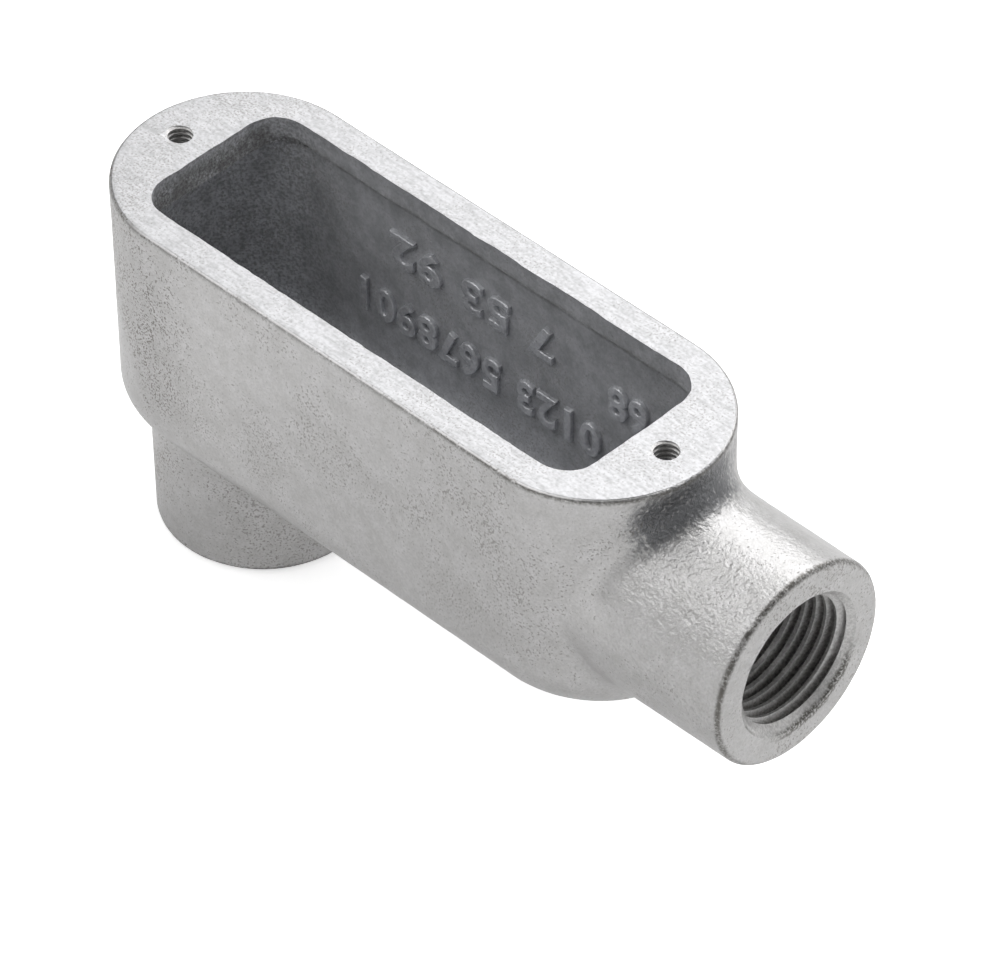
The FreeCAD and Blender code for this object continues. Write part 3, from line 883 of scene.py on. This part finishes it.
def zinc_plated_malleable_iron(settings):
    """Electroplated zinc over sand-cast malleable iron.

    A satin light grey metal, grainy and finely pitted where it was cast, flat and lightly scratched
    on the ground rim, dull and blotchy inside the chamber and unpitted in the cut threads.
    """
    material = bpy.data.materials.new("zinc_plated_malleable_iron")
    material.use_nodes = True
    tree = material.node_tree
    tree.nodes.clear()
    at = read_surface(tree)
    pits = add_pits(tree, at)
    scratches = add_scratches(tree, at)
    tone = whole_tone(tree, at, pits, scratches, settings)

    # the chamber's thin zinc is nearly matt, and the numerals are rubbed bright
    satin = add_node(tree, "MapRange", {
        "Value": at["grain"], "From Min": 0.3, "From Max": 0.7, "To Min": 0.28, "To Max": 0.38})
    satin = add_node(tree, "Mix", {0: at["bored"], 2: satin, 3: 0.42})
    satin = add_node(tree, "Mix", {0: at["cored"], 2: satin, 3: 0.62})
    satin = add_node(tree, "Mix", {0: at["raised"], 2: satin, 3: 0.27})
    metallic = add_node(tree, "Mix", {0: at["cored"], 2: 0.8, 3: 0.15})
    metallic = add_node(tree, "Mix", {0: at["raised"], 2: metallic, 3: 0.5})
    relief = add_relief(tree, at, pits, scratches)
    normal = add_node(tree, "Bump", {"Height": relief, "Strength": 1.0, "Distance": MM})
    surface = add_node(tree, "BsdfPrincipled", {
        "Base Color": tone, "Roughness": satin, "Normal": normal, "Metallic": metallic})
    add_node(tree, "OutputMaterial", {"Surface": surface})
    return material


# The stage

def area_lamp(name, place, target, size, watts):
    """A square soft lamp that looks at a target."""
    lamp = bpy.data.lights.new(name, "AREA")
    lamp.shape = "SQUARE"
    lamp.size = size
    lamp.energy = watts
    obj = bpy.data.objects.new(name, lamp)
    obj.location = place
    obj.rotation_euler = (Vector(place) - Vector(target)).to_track_quat("Z", "Y").to_euler()
    bpy.context.scene.collection.objects.link(obj)


def white_paper():
    """Matt white paper, lifted to plain white where the camera or a mirror-like surface sees it."""
    material = bpy.data.materials.new("white_paper")
    material.use_nodes = True
    tree = material.node_tree
    tree.nodes.clear()
    seen, glossy, through = [
        add_node(tree, "LightPath", output=name)
        for name in ("Is Camera Ray", "Is Glossy Ray", "Is Transmission Ray")]
    mirrored = add_node(tree, "Math", {0: glossy, 1: through}, operation="MAXIMUM")
    mirrored = add_node(tree, "Math", {0: mirrored, 1: 0.12}, operation="MULTIPLY")
    lift = add_node(tree, "Math", {0: seen, 1: 0.6, 2: mirrored}, operation="MULTIPLY_ADD")
    matt = add_node(tree, "BsdfDiffuse", {"Color": linear("F2F2F2")})
    light = add_node(tree, "Emission", {"Color": (1, 1, 1, 1), "Strength": lift})
    both = add_node(tree, "AddShader", {0: matt, 1: light})
    add_node(tree, "OutputMaterial", {"Surface": both})
    return material


def build_stage(settings):
    """Floor, low backdrop all round, soft lamps, world and camera."""
    bm = bmesh.new()
    bmesh.ops.create_circle(bm, cap_ends=True, segments=SWEEP_SIDES, radius=SWEEP_RADIUS)
    rim = [edge for edge in bm.edges if edge.is_boundary]
    raised = bmesh.ops.extrude_edge_only(bm, edges=rim)["geom"]
    top = [part for part in raised if isinstance(part, bmesh.types.BMVert)]
    bmesh.ops.translate(bm, verts=top, vec=(0, 0, SWEEP_HEIGHT))
    bmesh.ops.translate(bm, verts=bm.verts, vec=(0, 0, BACK_HUB_FACE * MM - FLOOR_GAP))
    bmesh.ops.recalc_face_normals(bm, faces=bm.faces)
    bmesh.ops.reverse_faces(bm, faces=bm.faces)
    mesh = bpy.data.meshes.new("paper_sweep")
    bm.to_mesh(mesh)
    bm.free()
    sweep = link_object("paper_sweep", mesh)
    sweep.data.materials.append(white_paper())

    for name, place, size, watts in LAMPS:
        area_lamp(name, place, LAMP_TARGET, size, watts)

    scene = bpy.context.scene
    world = bpy.data.worlds.new("dim_room")
    world.use_nodes = True
    background = world.node_tree.nodes["Background"]
    background.inputs["Color"].default_value = (ROOM_GREY, ROOM_GREY, ROOM_GREY, 1)
    scene.world = world
    scene.view_settings.view_transform = "Standard"

    azimuth, elevation, roll = settings.azimuth, settings.elevation, settings.roll
    back = Vector((
        math.sin(azimuth) * math.cos(elevation),
        -math.cos(azimuth) * math.cos(elevation),
        math.sin(elevation)))
    level = Vector((math.cos(azimuth), math.sin(azimuth), 0.0))
    upward = back.cross(level)
    right = level * math.cos(roll) + upward * math.sin(roll)
    up = upward * math.cos(roll) - level * math.sin(roll)
    lens = bpy.data.cameras.new("camera")
    lens.lens = settings.lens
    lens.sensor_fit = "HORIZONTAL"
    lens.sensor_width = SENSOR_WIDTH
    lens.clip_start = CLIP_START
    camera = bpy.data.objects.new("camera", lens)
    turned = Matrix((right, up, back)).transposed().to_4x4()
    camera.matrix_world = Matrix.Translation(settings.place) @ turned
    scene.collection.objects.link(camera)
    scene.camera = camera


def plated_material():
    """The one finish that all the pieces share."""
    known = bpy.data.materials.get("zinc_plated_malleable_iron")
    return known or zinc_plated_malleable_iron(bpy.context.scene.conduit_finish)


class CONDUIT_OT_casting(bpy.types.Operator):
    """Dress the casting: cut its threads and roughen its cast skin"""

    bl_idname = "conduit.casting"
    bl_label = "Build Casting"

    def execute(self, context):
        build_casting(context.scene.conduit_casting, plated_material())
        return {"FINISHED"}


class CONDUIT_OT_numerals(bpy.types.Operator):
    """Raise the plain numerals on the inner wall"""

    bl_idname = "conduit.numerals"
    bl_label = "Build Numerals"

    def execute(self, context):
        build_numerals(context.scene.conduit_numerals, plated_material())
        return {"FINISHED"}


class CONDUIT_OT_stage(bpy.types.Operator):
    """Set up the floor, lamps, world and camera"""

    bl_idname = "conduit.stage"
    bl_label = "Build Stage"

    def execute(self, context):
        build_stage(context.scene.conduit_stage)
        return {"FINISHED"}


class CONDUIT_PT_panel(bpy.types.Panel):
    """Lists the steps that dress the conduit body"""

    bl_label = "Conduit Body"
    bl_idname = "CONDUIT_PT_panel"
    bl_space_type = "VIEW_3D"
    bl_region_type = "UI"
    bl_category = "Conduit Body"

    def draw(self, context):
        for group, operator in STEPS:
            settings = getattr(context.scene, group)
            box = self.layout.box()
            for name in settings.bl_rna.properties.keys():
                if name not in ("name", "rna_type"):
                    box.prop(settings, name)
            if operator:
                box.operator(operator.bl_idname)


STEPS = [
    ("conduit_finish", None),
    ("conduit_casting", CONDUIT_OT_casting),
    ("conduit_numerals", CONDUIT_OT_numerals),
    ("conduit_stage", CONDUIT_OT_stage),
]
GROUPS = {
    "conduit_finish": ConduitFinishSettings,
    "conduit_casting": ConduitCastingSettings,
    "conduit_numerals": ConduitNumeralSettings,
    "conduit_stage": ConduitStageSettings,
}
OPERATORS = [operator for group, operator in STEPS if operator]
CLASSES = [*GROUPS.values(), *OPERATORS, CONDUIT_PT_panel]


def register():
    """Make the classes known to Blender and hang the settings on the scene."""
    for item in CLASSES:
        bpy.utils.register_class(item)
    for name, group in GROUPS.items():
        setattr(bpy.types.Scene, name, bpy.props.PointerProperty(type=group))


def unregister():
    """Take the settings off the scene and the classes out of Blender."""
    for name in GROUPS:
        delattr(bpy.types.Scene, name)
    for item in reversed(CLASSES):
        bpy.utils.unregister_class(item)


def main():
    """Build the pieces and the stage."""
    register()
    bpy.ops.conduit.casting()
    bpy.ops.conduit.numerals()
    bpy.ops.conduit.stage()


if __name__ == "__main__":
    main()
